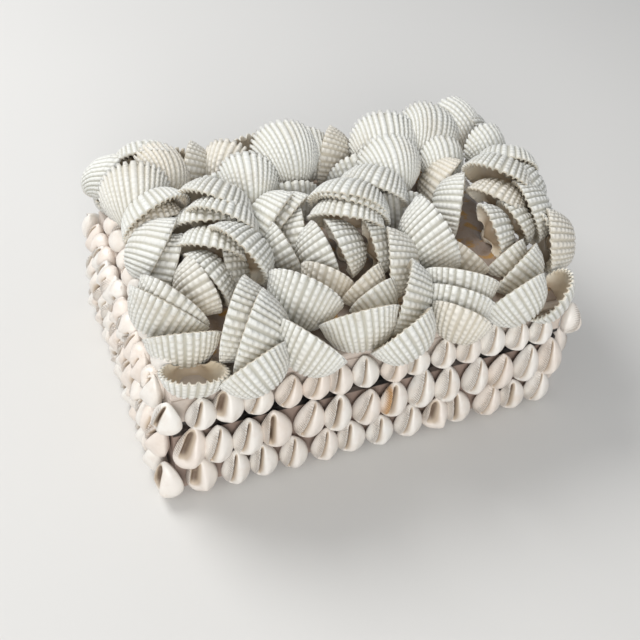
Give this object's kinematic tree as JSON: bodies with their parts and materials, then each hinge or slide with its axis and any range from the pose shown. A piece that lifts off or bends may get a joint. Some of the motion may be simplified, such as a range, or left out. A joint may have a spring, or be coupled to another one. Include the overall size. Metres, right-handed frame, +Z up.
{
  "type": "shell box",
  "caption": "Small oblong box with a lift-off lid, faced with rows of small sea shells and topped with roses built up from ribbed cockle valves.",
  "frame": {"origin": "centre of the underside, on the surface the box stands on", "axes": "+X along the front from left to right, +Y from the front to the back, +Z up out of the lid"},
  "size_m": [0.1824, 0.1313, 0.0783],
  "materials": {
    "covered_board": "satin",
    "lining_board": "matte",
    "small_shell": "satin",
    "ribbed_shell": "satin"
  },
  "bodies": {
    "root": {"base_floor": "covered_board", "base_wall_front": "covered_board", "base_wall_back": "covered_board", "base_wall_left": "covered_board", "base_wall_right": "covered_board", "neck_front": "lining_board", "neck_back": "lining_board", "neck_left": "lining_board", "neck_right": "lining_board", "lid_top": "covered_board", "lid_rim_front": "covered_board", "lid_rim_back": "covered_board", "lid_rim_left": "covered_board", "lid_rim_right": "covered_board", "lid_shells_front": "small_shell", "lid_shells_back": "small_shell", "lid_shells_left": "small_shell", "lid_shells_right": "small_shell", "upper_shells_front": "small_shell", "upper_shells_back": "small_shell", "upper_shells_left": "small_shell", "upper_shells_right": "small_shell", "lower_shells_front": "small_shell", "lower_shells_back": "small_shell", "lower_shells_left": "small_shell", "lower_shells_right": "small_shell", "rose_front_left": "ribbed_shell", "rose_front_middle": "ribbed_shell", "rose_front_right": "ribbed_shell", "rose_back_left": "ribbed_shell", "rose_back_middle": "ribbed_shell", "rose_back_right": "ribbed_shell"}
  },
  "joints": []
}
